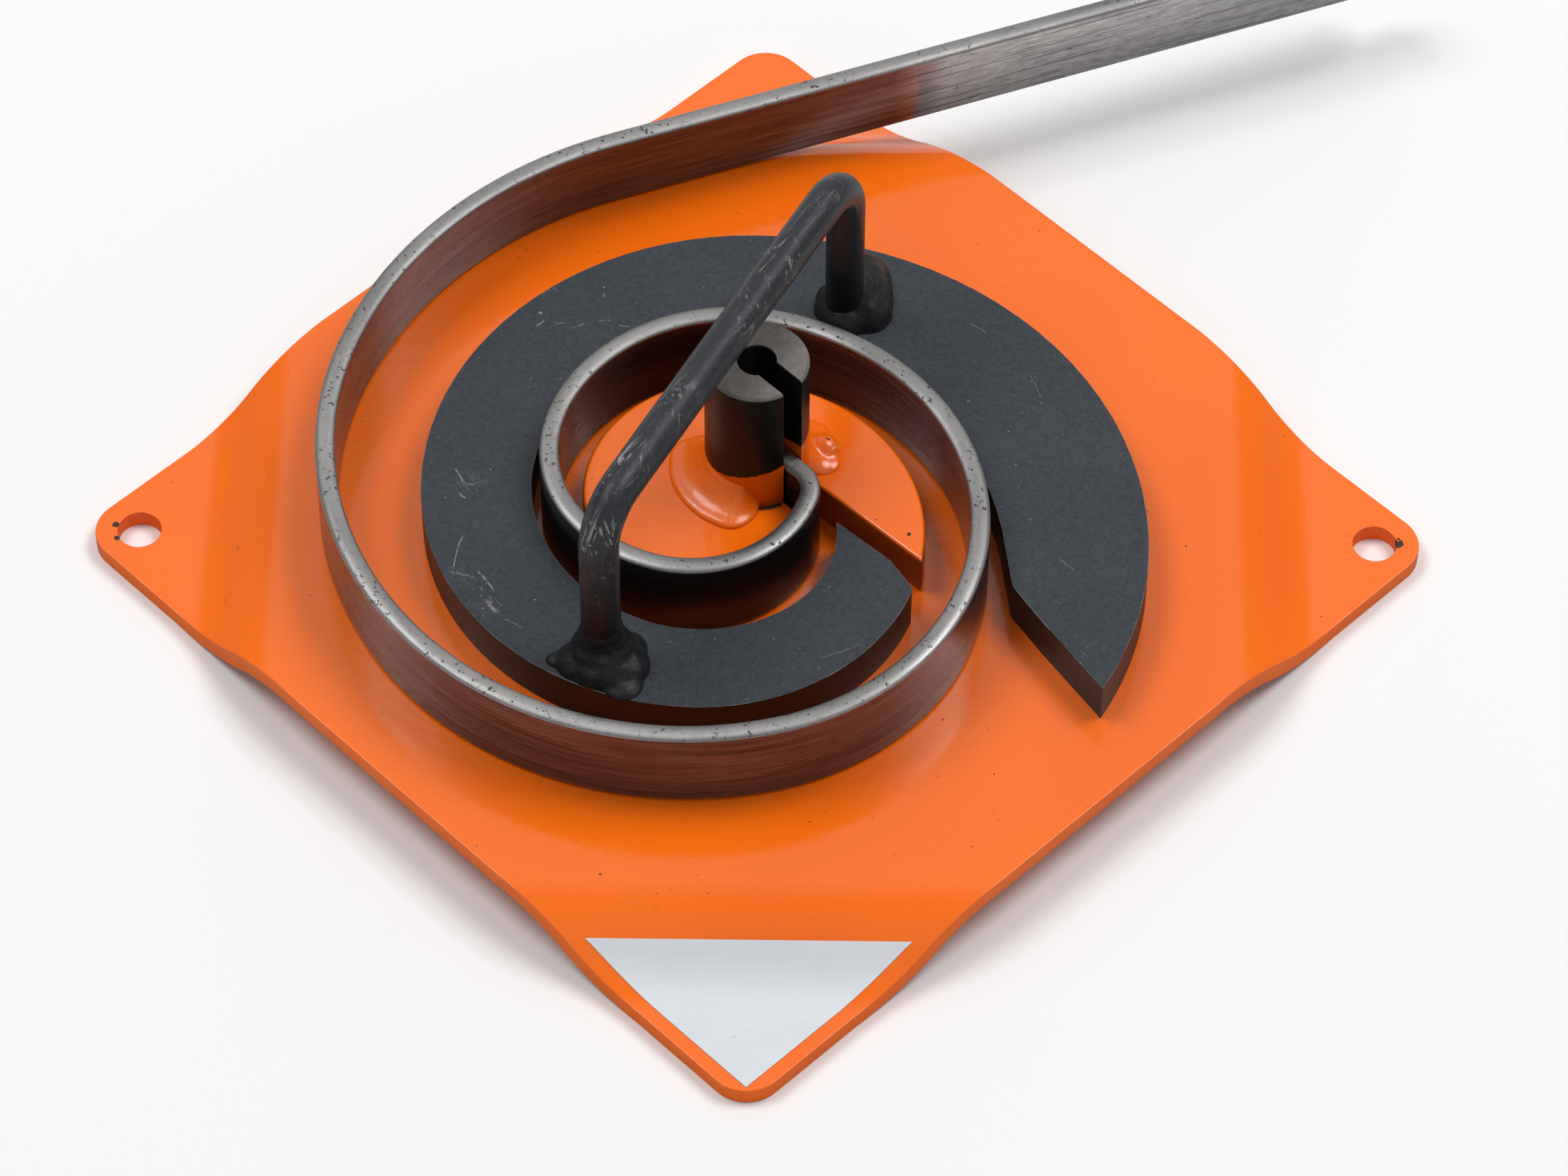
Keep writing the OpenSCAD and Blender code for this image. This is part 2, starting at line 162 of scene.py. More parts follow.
FORMER_SCRUBS = (
    (-55.0, -29.6, 3.2, 0.8), (-52.9, -34.1, 3.6, 0.9), (-59.5, -26.5, 3.4, 0.5),
    (-58.6, -3.0, 5.0, 0.3), (64.4, -44.5, 2.2, 0.7), (66.4, -41.0, 2.2, 0.5), (55.5, 28.0, 2.5, 0.35),
    (-44.0, 49.5, 2.2, 0.7), (32.4, -28.8, 1.3, 1.0))

# Scraped places on the rod as (middle, radius, strength)
ROD_SCRAPES = (
    ((0.003, 0.018, 0.070), 0.009, 1.0), ((-0.002, 0.004, 0.070), 0.009, 0.6),
    ((-0.016, -0.018, 0.070), 0.010, 0.5), ((-0.027, -0.034, 0.070), 0.010, 1.0),
    ((-0.030, -0.049, 0.062), 0.009, 0.9), ((-0.030, -0.049, 0.048), 0.010, 0.4),
    ((0.014, 0.040, 0.070), 0.010, 0.5))

# Heights over the formers: where the rod is darkest and where that darkening ends, then where the
# post's orange foot starts to turn black and where it has
ROD_DARKENING = (0.008, 0.036)
POST_FOOT = (0.0103, 0.0107)
# Depths under the post's top: where its bare end starts to be painted and where it is
POST_BARE = (0.0004, 0.0006)

# Colours that are not settings
ORANGE_SPECK = (0.30, 0.045, 0.01, 1)
ORANGE_DUST = (0.95, 0.42, 0.22, 1)
ORANGE_SCUFF = (0.62, 0.12, 0.03, 1)
# Paler orange, painted as the highlight along the wrinkle ridges
WRINKLE_HIGHLIGHT = (0.95, 0.36, 0.10, 1)
PRIMER = (0.022, 0.009, 0.004, 1)
# Near-black painted shade in the crevice at the post's foot
CREVICE_SHADE = (0.012, 0.005, 0.003, 1)
BLACK_SPECK = (0.32, 0.33, 0.33, 1)
RUST = (0.035, 0.022, 0.018, 1)
PIT = (0.05, 0.042, 0.038, 1)
LABEL_GRIME = (0.40, 0.38, 0.36, 1)
LABEL_SPECK = (0.2, 0.19, 0.18, 1)

# The panel behind the object, by direction: how far it reaches to either side and how low it
# starts, and where the front of the sky gives way to its sides, each from full to none
PANEL_SIDE = (0.45, 0.53)
PANEL_FOOT = (0.15, 0.50)
SKY_TURN = (-0.35, 0.15)

# The soft lights as (place, diameter), and half the floor's width
LAMP_RIGHT = (Vector((1.30, 0.50, 2.45)), 1.4)
LAMP_LEFT = (Vector((-1.25, 0.40, 2.45)), 1.3)
FLOOR_REACH = 4.0

# Length of a mirrored ray, in metres, over which the floor it meets goes from near, painted darker as contact
# shade, to far
MIRROR_REACH = (0.012, 0.040)


# ---------------------------------------------------------------- settings

def length(name, description, default):
    return bpy.props.FloatProperty(name=name, description=description, default=default,
                                   min=0.0, precision=5, subtype="DISTANCE", unit="LENGTH")


def colour(name, description, default):
    return bpy.props.FloatVectorProperty(name=name, description=description, default=default,
                                         min=0.0, max=1.0, size=3, subtype="COLOR")


def factor(name, description, default):
    return bpy.props.FloatProperty(name=name, description=description, default=default,
                                   min=0.0, max=1.0, subtype="FACTOR")


class PaintSettings(bpy.types.PropertyGroup):
    orange: colour("Orange", "Powder coat of the plate and the fixed former", (0.95, 0.161, 0.0020))
    orange_deep: colour("Deep orange", "The same coat where it lies thick", (0.90, 0.142, 0.0015))
    black: colour("Black", "Satin paint of the loose former, the handle and the post", (0.037, 0.0425, 0.051))
    post: colour("Post black", "Thin dark paint of the post", (0.010, 0.0092, 0.0088))
    # Painted shade: the darker colour the fixed former's upright walls are blended towards
    wall_shade: colour("Wall orange", "The coat where it lies thin and grimed on the fixed former's walls",
                 (0.40, 0.052, 0.0012))
    bare: colour("Bare steel", "Steel that shows where the paint is worn off", (0.36, 0.35, 0.34))
    label: colour("Label", "The blank label", (0.66, 0.69, 0.73))
    gloss: factor("Orange roughness", "Roughness of the powder coat", 0.16)
    satin: factor("Black roughness", "Roughness of the satin black", 0.42)


class SteelSettings(bpy.types.PropertyGroup):
    bright: colour("Bright", "Clean steel on the bar's edges", (0.30, 0.292, 0.288))
    dull: colour("Dull", "Mill finish on the bar's faces", (0.085, 0.068, 0.080))
    machined: colour("Machined", "Cut end of the post", (0.17, 0.155, 0.145))


class EdgeSettings(bpy.types.PropertyGroup):
    plate: length("Plate", "Rounding of the plate's cut edges", 1.6 * MM)
    fixed_former: length("Fixed former", "Rounding under the powder coat", 1.2 * MM)
    loose_former: length("Loose former", "Small break on the black former's edges", 0.3 * MM)
    post: length("Post", "Break on the post's edges", 0.25 * MM)
    label: length("Label", "Break on the label's edges", 0.05 * MM)


class RodSettings(bpy.types.PropertyGroup):
    thickness: length("Thickness", "Diameter of the handle's rod", 8 * MM)
    bend: length("Bend", "Bend radius at the rod's middle", 9.5 * MM)


class BarSettings(bpy.types.PropertyGroup):
    thickness: length("Thickness", "Thickness of the flat bar", 4 * MM)
    edge: length("Edge", "Height of the domed rolled edges", 0.85 * MM)
    tail: length("Tail", "Length of the straight tail", 178 * MM)
    lean: length("Lean", "How far the free tail's foot swings out of upright", 1.9 * MM)


class StageSettings(bpy.types.PropertyGroup):
    floor: factor("Floor", "Paleness of the floor in soft light thrown back", 0.88)
    # Painted shade: the floor mirrored just under the pieces' edges is drawn darker, as their contact shadow
    floor_near_shade: factor("Floor mirrored close by",
                       "Paleness of the floor in the gloss of edges just above it", 0.20)
    floor_far: factor("Floor mirrored farther off",
                      "Paleness of the floor in the gloss of higher pieces", 0.80)
    floor_seen: factor("Floor as seen", "Paleness of the floor to the camera", 0.87)
    sky_front: factor("Sky in front", "Level of the light from the camera's side", 0.48)
    sky_sides: factor("Sky at the sides", "Level of the light from the left and the right", 0.26)
    sky_panel: factor("Panel behind", "Level of the tall pale panel behind the object", 0.90)
    right: bpy.props.FloatProperty(name="Right", description="Power of the big soft light at the right",
                                   default=37.8, min=0.0, unit="POWER")
    left: bpy.props.FloatProperty(name="Left", description="Power of the soft light at the left",
                                  default=29.5, min=0.0, unit="POWER")


# ---------------------------------------------------------------- node helpers

class Nodes:
    """A tree of nodes, made one line at a time."""

    def __init__(self, tree):
        self.tree = tree
        self.tree.nodes.clear()

    def node(self, kind, settings=(), **inputs):
        made = self.tree.nodes.new(kind)
        for key, value in dict(settings).items():
            setattr(made, key, value)
        for key, value in inputs.items():
            self.plug(made.inputs[key.replace("_", " ")], value)
        return made

    def plug(self, socket, value):
        if isinstance(value, bpy.types.NodeSocket):
            self.tree.links.new(value, socket)
        else:
            socket.default_value = value

    def maths(self, operation, a, b=0.0):
        made = self.node("ShaderNodeMath", {"operation": operation})
        self.plug(made.inputs[0], a)
        self.plug(made.inputs[1], b)
        return made.outputs[0]

    def ramp(self, value, low, high, bottom=0.0, top=1.0):
        """Value from low to high becomes bottom to top, and no further."""
        made = self.node("ShaderNodeMapRange", {"clamp": True})
        for socket, number in zip(made.inputs, (value, low, high, bottom, top)):
            self.plug(socket, number)
        return made.outputs[0]

    def split(self, vector):
        made = self.node("ShaderNodeSeparateXYZ", Vector=vector)
        return made.outputs


class Graph(Nodes):
    """A material's nodes: one shader, and patterns set out in the piece's own place."""

    def __init__(self, name):
        self.material = bpy.data.materials.new(name)
        self.material.use_nodes = True
        super().__init__(self.material.node_tree)
        self.shader = self.node("ShaderNodeBsdfPrincipled")
        out = self.node("ShaderNodeOutputMaterial")
        self.tree.links.new(self.shader.outputs["BSDF"], out.inputs["Surface"])
        self.place = self.node("ShaderNodeTexCoord").outputs["Object"]

    def finish(self, **inputs):
        """Set sockets on the shader; names have _ for a space."""
        for key, value in inputs.items():
            self.plug(self.shader.inputs[key.replace("_", " ")], value)
        return self.material

    def upright(self):
        """1 where the piece faces up, 0 on its walls and -1 below."""
        return self.split(self.node("ShaderNodeTexCoord").outputs["Normal"])[2]

    def marked(self, layer):
        """The value of a face layer, such as rim."""
        source = {"attribute_name": layer, "attribute_type": "GEOMETRY"}
        return self.node("ShaderNodeAttribute", source).outputs["Fac"]

    def grain(self, size, detail=3.0, roughness=0.5, vector=None, distortion=0.0, four=None):
        """Noise whose features are about size metres across."""
        made = self.node("ShaderNodeTexNoise", Scale=1.0 / size, Detail=detail,
                         Roughness=roughness, Distortion=distortion)
        if four is not None:
            made.noise_dimensions = "4D"
            made.inputs["W"].default_value = four
        self.plug(made.inputs["Vector"], vector or self.place)
        return made.outputs["Fac"]

    def blend(self, amount, a, b):
        """Colour a where amount is 0 and b where it is 1."""
        made = self.node("ShaderNodeMix", {"data_type": "RGBA"})
        for index, value in ((0, amount), (6, a), (7, b)):
            self.plug(made.inputs[index], value)
        return made.outputs[2]

    def mapped(self, turn=0.0, scale=(1, 1, 1), shift=(0, 0, 0), vector=None):
        """The place turned about Z, then scaled."""
        made = self.node("ShaderNodeMapping", {"vector_type": "TEXTURE"}, Vector=vector or self.place)
        made.inputs["Rotation"].default_value = (0, 0, math.radians(turn))
        made.inputs["Location"].default_value = shift
        made.inputs["Scale"].default_value = scale
        return made.outputs[0]

    def near(self, point, radius, soft=0.5):
        """1 within radius of a point, falling to 0 outside."""
        made = self.node("ShaderNodeVectorMath", {"operation": "DISTANCE"})
        self.plug(made.inputs[0], self.place)
        made.inputs[1].default_value = point
        return self.ramp(made.outputs["Value"], radius * (1 - soft), radius, 1.0, 0.0)

    def bump(self, height, depth, normal=None):
        """Relief whose height socket, from 0 to 1, stands for depth metres."""
        made = self.node("ShaderNodeBump", Height=height, Distance=depth, Strength=1.0)
        if normal is not None:
            self.plug(made.inputs["Normal"], normal)
        return made.outputs[0]

    def strokes(self, turn, length_m, width_m, rarity, seed=0.0, vector=None):
        """Thin broken strokes lying along one direction: 1 on a stroke."""
        lengthwise = self.mapped(turn, (length_m / width_m, 1, 1), vector=vector)
        fine = self.grain(width_m * 1.6, 2.0, 0.6, lengthwise, 0.3, seed)
        patch = self.grain(length_m * 1.2, 1.0, 0.5, vector, 0.0, seed + 7.3)
        line = self.ramp(fine, rarity, rarity + 0.03)
        return self.maths("MULTIPLY", line, self.ramp(patch, 0.5, 0.62))

    def wavering(self, amount, size):
        """The place, pushed about by soft noise."""
        soft = self.node("ShaderNodeTexNoise", Scale=1.0 / size, Detail=2.0, Vector=self.place)
        moved = self.node("ShaderNodeVectorMath", {"operation": "MULTIPLY_ADD"})
        self.plug(moved.inputs[0], soft.outputs["Color"])
        moved.inputs[1].default_value = (amount * 2,) * 3
        self.plug(moved.inputs[2], self.place)
        return moved.outputs[0], amount

    def scratch(self, wavering, x0, y0, x1, y1, width):
        """1 along one thin scratch between two places in plan."""
        moved, shift = wavering
        reach, turn = math.hypot(x1 - x0, y1 - y0) / 2, math.degrees(math.atan2(y1 - y0, x1 - x0))
        middle = ((x0 + x1) / 2 + shift, (y0 + y1) / 2 + shift, 0)
        axes = self.split(self.mapped(turn, (reach, width / 2, 1), middle, moved))
        lengthwise = self.ramp(self.maths("ABSOLUTE", axes[0]), 0.75, 1.0, 1.0, 0.0)
        across = self.ramp(self.maths("ABSOLUTE", axes[1]), 0.4, 1.0, 1.0, 0.0)
        return self.maths("MULTIPLY", lengthwise, across)


def rgba(value, lift=1.0):
    return (*[min(1.0, c * lift) for c in value], 1.0)


# ---------------------------------------------------------------- materials

def orange_paint(name, settings, chips=(), scuffs=(), highlit_wrinkles=(), crevice_shade=(), shaded_walls=False,
                 dulled=1.0):
    """Glossy powder coat: orange peel, specks, chips down to dark primer, scuffs, wrinkle ridges with painted
    highlights, painted crevice shade.

    With its walls flag, the upright faces are darkened as painted shade; dulled multiplies the roughness.
    """
    g = Graph(name)
    drift = g.grain(0.06, 2.0)
    peel = g.grain(0.0022, 2.0, 0.45)
    fine = g.grain(0.0006, 2.0, 0.5)
    speck = g.ramp(g.grain(0.0011, 1.0, 0.5, four=3.1), 0.795, 0.815)
    dust = g.ramp(g.grain(0.0008, 1.0, 0.5, four=9.7), 0.80, 0.82)
    base = g.blend(g.ramp(drift, 0.3, 0.7), rgba(settings.orange), rgba(settings.orange_deep))
    base = g.blend(g.maths("MULTIPLY", speck, 0.45), base, ORANGE_SPECK)
    base = g.blend(g.maths("MULTIPLY", dust, 0.35), base, ORANGE_DUST)
    rough = g.ramp(fine, 0.3, 0.7, settings.gloss * 0.8 * dulled, settings.gloss * 1.25 * dulled)
    height = g.maths("ADD", g.maths("MULTIPLY", peel, 0.75), g.maths("MULTIPLY", fine, 0.25))
    worn = None
    for point, radius in chips:
        ragging = g.ramp(g.grain(0.0011, 3.0, 0.6), 0.2, 0.8, -0.75, 0.45)
        mask = g.ramp(g.maths("ADD", g.near(point, radius, 0.9), ragging), 0.30, 0.36)
        worn = mask if worn is None else g.maths("MAXIMUM", worn, mask)
    if worn is not None:
        base = g.blend(worn, base, PRIMER)
        rough = g.maths("ADD", rough, g.maths("MULTIPLY", worn, 0.6))
        height = g.maths("SUBTRACT", height, g.maths("MULTIPLY", worn, 1.5))
    for point, radius, turn in scuffs:
        strokes = g.strokes(turn, 0.012, 0.0005, 0.56, point[0] * 90)
        lines = g.maths("MULTIPLY", g.near(point, radius, 0.9), strokes)
        base = g.blend(g.maths("MULTIPLY", lines, 0.55), base, ORANGE_SCUFF)
        rough = g.maths("ADD", rough, g.maths("MULTIPLY", lines, 0.25))
    # Painted shade: upright faces are blended towards the darker wall colour and made rougher
    if shaded_walls:
        wall_shade_mask = g.ramp(g.upright(), 0.35, 0.97, 1.0, 0.0)
        base = g.blend(wall_shade_mask, base, rgba(settings.wall_shade))
        rough = g.maths("ADD", rough, g.maths("MULTIPLY", wall_shade_mask, 0.35))
    if highlit_wrinkles or crevice_shade:
        wavering = g.wavering(0.0004, 0.004)
    # Painted highlight: each wrinkle is raised in relief and blended paler along its line
    for *stretch, strength in highlit_wrinkles:
        line = g.maths("MULTIPLY", g.scratch(wavering, *(value * MM for value in stretch)), strength)
        base = g.blend(g.maths("MULTIPLY", line, 0.5), base, WRINKLE_HIGHLIGHT)
        height = g.maths("ADD", height, g.maths("MULTIPLY", line, 1.0))
    # Painted shade: near-black lines along the crevice at the post's foot, made rougher
    for *stretch, strength in crevice_shade:
        line = g.maths("MULTIPLY", g.scratch(wavering, *(value * MM for value in stretch)), strength)
        base = g.blend(line, base, CREVICE_SHADE)
        rough = g.maths("ADD", rough, g.maths("MULTIPLY", line, 0.5))
    return g.finish(Base_Color=base, Roughness=rough, Normal=g.bump(height, 0.00006), IOR=1.5,
                    Coat_Weight=0.35, Coat_Roughness=0.06 * dulled, Coat_IOR=1.5)


def black_coat(g, settings, scratches, edge=None):
    """Colour, roughness and height of satin black with fine specks, pale scratches and worn edges."""
    cloud = g.grain(0.03, 3.0)
    fine = g.grain(0.0009, 3.0, 0.6)
    speck = g.ramp(g.grain(0.0009, 1.0, 0.5, four=5.5), 0.765, 0.79)
    base = g.blend(g.ramp(cloud, 0.35, 0.65), rgba(settings.black), rgba(settings.black, 1.15))
    base = g.blend(g.ramp(fine, 0.35, 0.6, 0.45, 0.0), base, rgba(settings.black, 0.45))
    flecks = g.ramp(g.grain(0.0006, 2.0, 0.6, four=8.8), 0.56, 0.72, 0.0, 0.35)
    base = g.blend(flecks, base, rgba(settings.black, 2.2))
    base = g.blend(g.maths("MULTIPLY", speck, 0.5), base, BLACK_SPECK)
    rough = g.ramp(g.maths("ADD", fine, cloud), 0.7, 1.3, settings.satin * 0.85, settings.satin * 1.15)
    marks = 0.0
    for mask in scratches:
        marks = g.maths("MAXIMUM", marks, mask)
    base = g.blend(g.maths("MULTIPLY", marks, 0.75), base, rgba(settings.bare))
    rough = g.maths("SUBTRACT", rough, g.maths("MULTIPLY", marks, 0.08))
    if edge is not None:
        base = g.blend(edge, base, rgba(settings.bare))
        rough = g.maths("SUBTRACT", rough, g.maths("MULTIPLY", edge, 0.1))
    height = g.maths("SUBTRACT", g.maths("MULTIPLY", fine, 0.6), g.maths("MULTIPLY", marks, 0.5))
    return base, rough, height


def former_black(settings):
    """The loose former: single scratches and scrubbed patches on top, worn edges, walls darkened as painted
    shade.
    """
    g = Graph("former_black")
    wavering = g.wavering(0.0009, 0.006)
    broken = g.ramp(g.grain(0.0012, 3.0, 0.7, four=3.3), 0.34, 0.52)
    scratches = []
    for *stretch, strength in FORMER_SCRATCHES:
        line = g.scratch(wavering, *(value * MM for value in stretch))
        scratches.append(g.maths("MULTIPLY", g.maths("MULTIPLY", line, strength), broken))
    for x, y, radius, strength in FORMER_SCRUBS:
        patch = g.near((x * MM, y * MM, FORMER_TOP), radius * MM, 0.9)
        flecks = g.maths("MAXIMUM", g.ramp(g.grain(0.0009, 3.0, 0.7, four=x), 0.57, 0.64),
                         g.strokes(-52, 0.004, 0.00030, 0.56, y))
        scratches.append(g.maths("MULTIPLY", g.maths("MULTIPLY", patch, strength), flecks))
    rim = g.marked("rim")
    rubbed = g.ramp(g.grain(0.006, 4.0, 0.65, four=2.0), 0.45, 0.66, 0.08, 0.75)
    base, rough, height = black_coat(g, settings, scratches, g.maths("MULTIPLY", rim, rubbed))
    # Painted shade: the upright walls, away from the rounded rim, are blended towards a darker black
    off_rim = g.ramp(rim, 0.0, 0.5, 1.0, 0.0)
    wall_shade = g.maths("MULTIPLY", g.ramp(g.upright(), 0.35, 0.9, 0.92, 0.0), off_rim)
    base = g.blend(wall_shade, base, rgba(settings.post, 0.5))
    return g.finish(Base_Color=base, Roughness=rough, Normal=g.bump(height, 0.00004), IOR=1.5,
                    Specular_IOR_Level=0.24)


def rod_black(settings):
    """The handle: satin black, clusters of pale scratches on its grip, and legs darker at their feet."""
    g = Graph("rod_black")
    along = g.node("ShaderNodeUVMap", {"uv_map": "along"}).outputs["UV"]
    lines = g.strokes(6, 0.005, 0.0004, 0.56, 11.0, along)
    slanted = g.strokes(-38, 0.0026, 0.0005, 0.55, 31.0, along)
    scrapes = g.maths("MAXIMUM", lines, slanted)
    worn = 0.0
    for point, radius, strength in ROD_SCRAPES:
        worn = g.maths("MAXIMUM", worn, g.maths("MULTIPLY", g.near(point, radius, 0.8), strength))
    flecks = g.ramp(g.grain(0.0014, 4.0, 0.7, four=1.5), 0.60, 0.65)
    worn = g.maths("MULTIPLY", worn, g.maths("MAXIMUM", scrapes, flecks))
    stray = g.maths("MULTIPLY", g.strokes(4, 0.012, 0.0003, 0.60, 51.0, along), 0.4)
    base, rough, height = black_coat(g, settings, (worn, stray))
    base = g.blend(g.ramp(worn, 0.1, 0.5, 0.45, 0.0), base, rgba(settings.post, 0.8))
    # The legs are drawn darker towards their feet
    thickest, ended = ROD_DARKENING
    darker_low = g.ramp(g.split(g.place)[2], FORMER_TOP + thickest, FORMER_TOP + ended, 0.8, 0.0)
    base = g.blend(darker_low, base, rgba(settings.post, 0.5))
    return g.finish(Base_Color=base, Roughness=rough, Normal=g.bump(height, 0.00005), IOR=1.5,
                    Specular_IOR_Level=0.28)


def weld_black(settings):
    """Weld metal under satin black."""
    g = Graph("weld_black")
    lumps = g.grain(0.0022, 3.0, 0.6)
    base, rough, height = black_coat(g, settings, ())
    base = g.blend(g.ramp(lumps, 0.35, 0.7, 0.7, 0.95), base, rgba(settings.post))
    height = g.maths("ADD", height, g.maths("MULTIPLY", lumps, 2.0))
    return g.finish(Base_Color=base, Roughness=rough, Normal=g.bump(height, 0.0001), IOR=1.5,
                    Specular_IOR_Level=0.18)


def post_finish(paint, steel):
    """The post: orange at its foot, black above a ragged line, bare machined top."""
    g = Graph("post_finish")
    x, _, z = g.split(g.place)
    _, rough, height = black_coat(g, paint, ())
    patches = g.ramp(g.grain(0.004, 3.0, 0.6, four=6.6), 0.4, 0.7)
    base = g.blend(patches, rgba(paint.post, 0.6), rgba(paint.post, 1.2))
    cut = g.grain(0.0007, 4.0, 0.7)
    mottle = g.grain(0.003, 3.0, 0.6)
    machined = g.blend(g.ramp(mottle, 0.3, 0.7), rgba(steel.machined), rgba(steel.machined, 1.4))
    bare, painted = POST_BARE
    crown = g.ramp(z, POST_HIGH.z - painted, POST_HIGH.z - bare)
    line = g.maths("ADD", z, g.maths("MULTIPLY", g.grain(0.005, 3.0, 0.6), 0.0024))
    line = g.maths("SUBTRACT", line, g.maths("MULTIPLY", x, 0.35))
    orange, black = POST_FOOT
    foot = g.ramp(line, FORMER_TOP + orange, FORMER_TOP + black, 1.0, 0.0)
    base = g.blend(crown, base, machined)
    base = g.blend(foot, base, rgba(paint.orange_deep))
    rough = g.maths("ADD", g.maths("MULTIPLY", rough, 0.9), g.maths("MULTIPLY", foot, -0.2))
    height = g.maths("ADD", height, g.maths("MULTIPLY", g.maths("MULTIPLY", cut, crown), 1.2))
    return g.finish(Base_Color=base, Roughness=rough, Metallic=g.maths("MULTIPLY", crown, 0.55),
                    Normal=g.bump(height, 0.00006), IOR=1.5, Specular_IOR_Level=0.2)


def bar_steel(settings):
    """Rolled flat bar: streaked faces, painted dark on its first turn as the mirrored black former, painted
    bright on its tail as the mirrored floor, pitted edges.
    """
    g = Graph("bar_steel")
    along = g.node("ShaderNodeUVMap", {"uv_map": "along"}).outputs["UV"]
    edge = g.marked("rim")
    run = g.split(along)[0]

    def rolled_grain(size, stretch, detail, roughness, distortion=0.0, four=None):
        """Noise drawn out along the bar."""
        drawn = g.mapped(0, (stretch, 1, 1), vector=along)
        return g.grain(size, detail, roughness, drawn, distortion, four)

    streak = rolled_grain(0.0011, 22, 4.0, 0.65)
    broad = rolled_grain(0.004, 10, 3.0, 0.6, 0.4)
    scale = g.ramp(rolled_grain(0.018, 3, 5.0, 0.7, 0.5), 0.42, 0.62)
    fine = g.grain(0.0005, 3.0, 0.6)
    pits = g.ramp(g.grain(0.0011, 3.0, 0.6, four=4.0), 0.618, 0.655)
    pits = g.maths("MULTIPLY", pits, g.ramp(g.grain(0.012, 2.0, 0.5, four=8.0), 0.34, 0.52))
    face = g.blend(g.ramp(streak, 0.3, 0.8), rgba(settings.dull), rgba(settings.bright, 0.74))
    face = g.blend(g.maths("MULTIPLY", g.ramp(broad, 0.45, 0.7), 0.6), face, rgba(settings.dull, 0.6))
    face = g.blend(g.maths("MULTIPLY", scale, 0.35), face, rgba(settings.dull, 1.3))
    rust = g.ramp(rolled_grain(0.0016, 3.5, 4.0, 0.7, 0.3, 12.0), 0.60, 0.68)
    rusty = g.ramp(rolled_grain(0.009, 3, 3.0, 0.6, 0.0, 21.0), 0.44, 0.58)
    rust = g.maths("MULTIPLY", rust, rusty)
    # Painted reflection and shade: the first turn's face is darkened, as the black former and dark gap
    # mirrored in it
    face = g.blend(g.ramp(run, *DARK_REFLECTION_RUN, 0.88, 0.0), face, rgba(settings.dull, 0.3))
    lines = g.ramp(rolled_grain(0.0008, 60, 2.0, 0.5, 0.2, 17.0), 0.54, 0.66)
    mottle = g.ramp(rolled_grain(0.0011, 4, 5.0, 0.75, 0.3, 5.0), 0.34, 0.66)
    # Painted reflection: past the plate's edge the tail's face turns bright, as the white floor mirrored in
    # it
    clean = g.blend(mottle, rgba(settings.bright, 1.15), rgba(settings.bright, 2.3))
    face = g.blend(g.ramp(run, *FLOOR_REFLECTION_RUN, 0.0, 0.9), face, clean)
    face = g.blend(g.maths("MULTIPLY", lines, 0.6), face, rgba(settings.dull, 0.35))
    face = g.blend(g.maths("MULTIPLY", rust, 0.75), face, RUST)
    rolled = g.blend(g.ramp(broad, 0.35, 0.7), rgba(settings.bright, 1.12), rgba(settings.bright, 0.8))
    dulled = g.ramp(g.grain(0.0013, 4.0, 0.7, four=2.7), 0.52, 0.72, 0.0, 0.45)
    rolled = g.blend(dulled, rolled, rgba(settings.bright, 0.5))
    rolled = g.blend(g.maths("MULTIPLY", pits, 0.85), rolled, PIT)
    base = g.blend(edge, face, rolled)
    rough = g.ramp(g.maths("ADD", streak, g.maths("MULTIPLY", scale, 0.4)), 0.3, 1.1, 0.15, 0.36)
    rough = g.maths("ADD", rough, g.maths("MULTIPLY", edge, 0.24))
    rough = g.maths("ADD", rough, g.maths("MULTIPLY", rust, 0.2))
    height = g.maths("ADD", g.maths("MULTIPLY", streak, 0.7), g.maths("MULTIPLY", fine, 0.4))
    height = g.maths("SUBTRACT", height, g.maths("MULTIPLY", g.maths("MULTIPLY", pits, edge), 1.6))
    metal = g.ramp(edge, 0.0, 1.0, 0.78, 1.0)
    return g.finish(Base_Color=base, Roughness=rough, Metallic=metal, Normal=g.bump(height, 0.00006))


def ground_steel(settings):
    """Ground dowels: fine rings."""
    g = Graph("ground_steel")
    rings = g.grain(0.0004, 2.0, 0.5, g.mapped(0, (40, 40, 1)))
    base = g.blend(g.ramp(rings, 0.3, 0.7), rgba(settings.bright), rgba(settings.bright, 0.8))
    return g.finish(Base_Color=base, Roughness=g.ramp(rings, 0.3, 0.7, 0.2, 0.34), Metallic=1.0,
                    Normal=g.bump(rings, 0.00002))


def label_film(settings):
    """Blank pale label: satin film with a faint brushed grain and a little grime."""
    g = Graph("label_film")
    brushed = g.grain(0.0004, 3.0, 0.6, g.mapped(0, (30, 1, 1)))
    grime = g.ramp(g.grain(0.012, 4.0, 0.6), 0.45, 0.75)
    speck = g.ramp(g.grain(0.0009, 1.0, 0.5, four=6.0), 0.79, 0.81)
    base = g.blend(g.ramp(brushed, 0.3, 0.7), rgba(settings.label), rgba(settings.label, 1.04))
    base = g.blend(g.maths("MULTIPLY", grime, 0.10), base, LABEL_GRIME)
    base = g.blend(g.maths("MULTIPLY", speck, 0.5), base, LABEL_SPECK)
    return g.finish(Base_Color=base, Roughness=g.ramp(brushed, 0.3, 0.7, 0.34, 0.42),
                    Normal=g.bump(g.maths("ADD", g.maths("MULTIPLY", brushed, 0.4), grime), 0.00002), IOR=1.5)


# ---------------------------------------------------------------- mesh helpers

